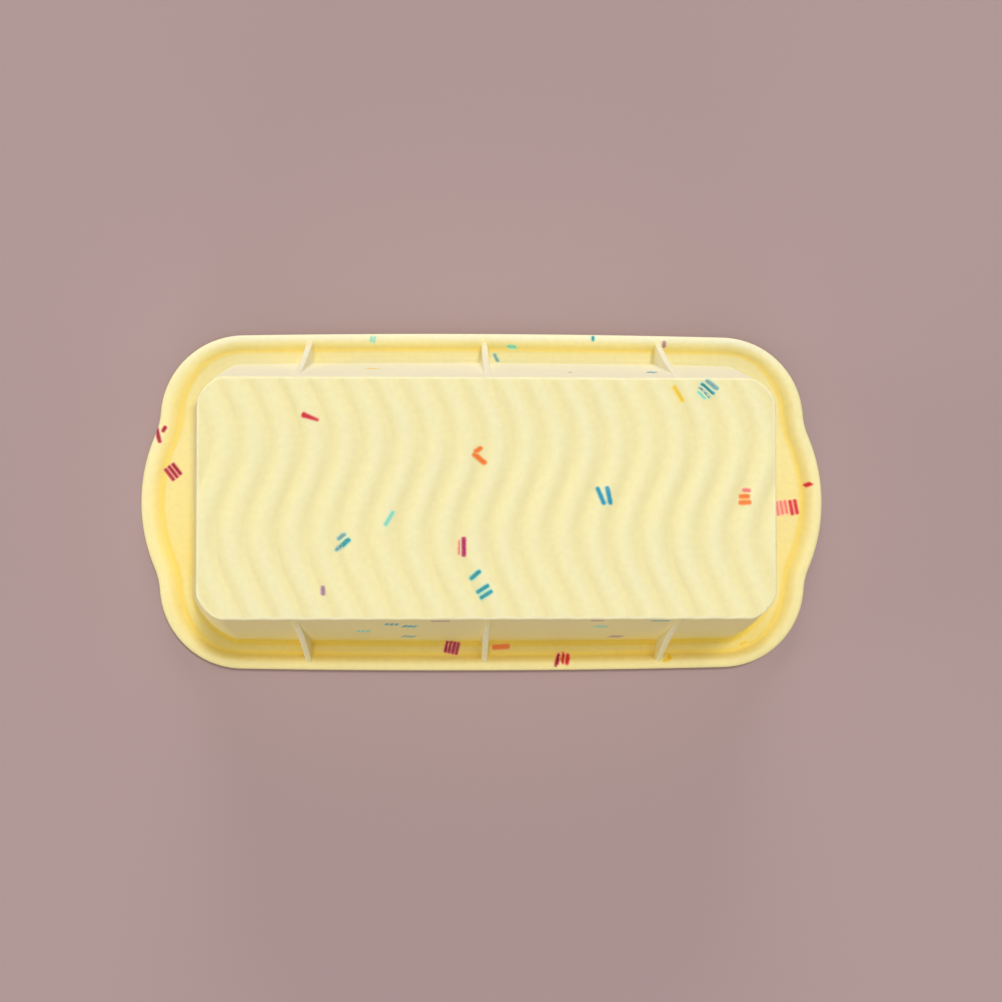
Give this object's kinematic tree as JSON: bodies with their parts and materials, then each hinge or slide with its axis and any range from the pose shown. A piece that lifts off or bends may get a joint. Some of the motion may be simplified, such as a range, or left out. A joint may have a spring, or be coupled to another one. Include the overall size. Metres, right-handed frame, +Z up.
{
  "type": "flexible silicone loaf mould",
  "caption": "Flexible silicone loaf mould with a wavy ribbed base, tapered walls, wire-stiffened bead rim, end grips, side gussets and scattered coloured chips.",
  "frame": {"origin": "centre of the rim's flat underside, on the surface that the mould rests on base up", "axes": "+X along the length, +Y across the width, +Z up from the rim towards the base; turned over about X the mould stands on its base to be filled"},
  "size_m": [0.275, 0.136, 0.065],
  "materials": {
    "yellow_silicone": "satin",
    "steel_wire": "drawn",
    "crimson_silicone": "satin",
    "red_silicone": "satin",
    "rose_silicone": "satin",
    "orange_silicone": "satin",
    "amber_silicone": "satin",
    "magenta_silicone": "satin",
    "mauve_silicone": "satin",
    "teal_silicone": "satin",
    "blue_silicone": "satin",
    "slate_silicone": "satin",
    "mint_silicone": "satin"
  },
  "bodies": {
    "root": {"mould_body": "yellow_silicone", "rim_wire": "steel_wire", "crimson_chips": "crimson_silicone", "red_chips": "red_silicone", "rose_chips": "rose_silicone", "orange_chips": "orange_silicone", "amber_chips": "amber_silicone", "magenta_chips": "magenta_silicone", "mauve_chips": "mauve_silicone", "teal_chips": "teal_silicone", "blue_chips": "blue_silicone", "slate_chips": "slate_silicone", "mint_chips": "mint_silicone"}
  },
  "joints": []
}
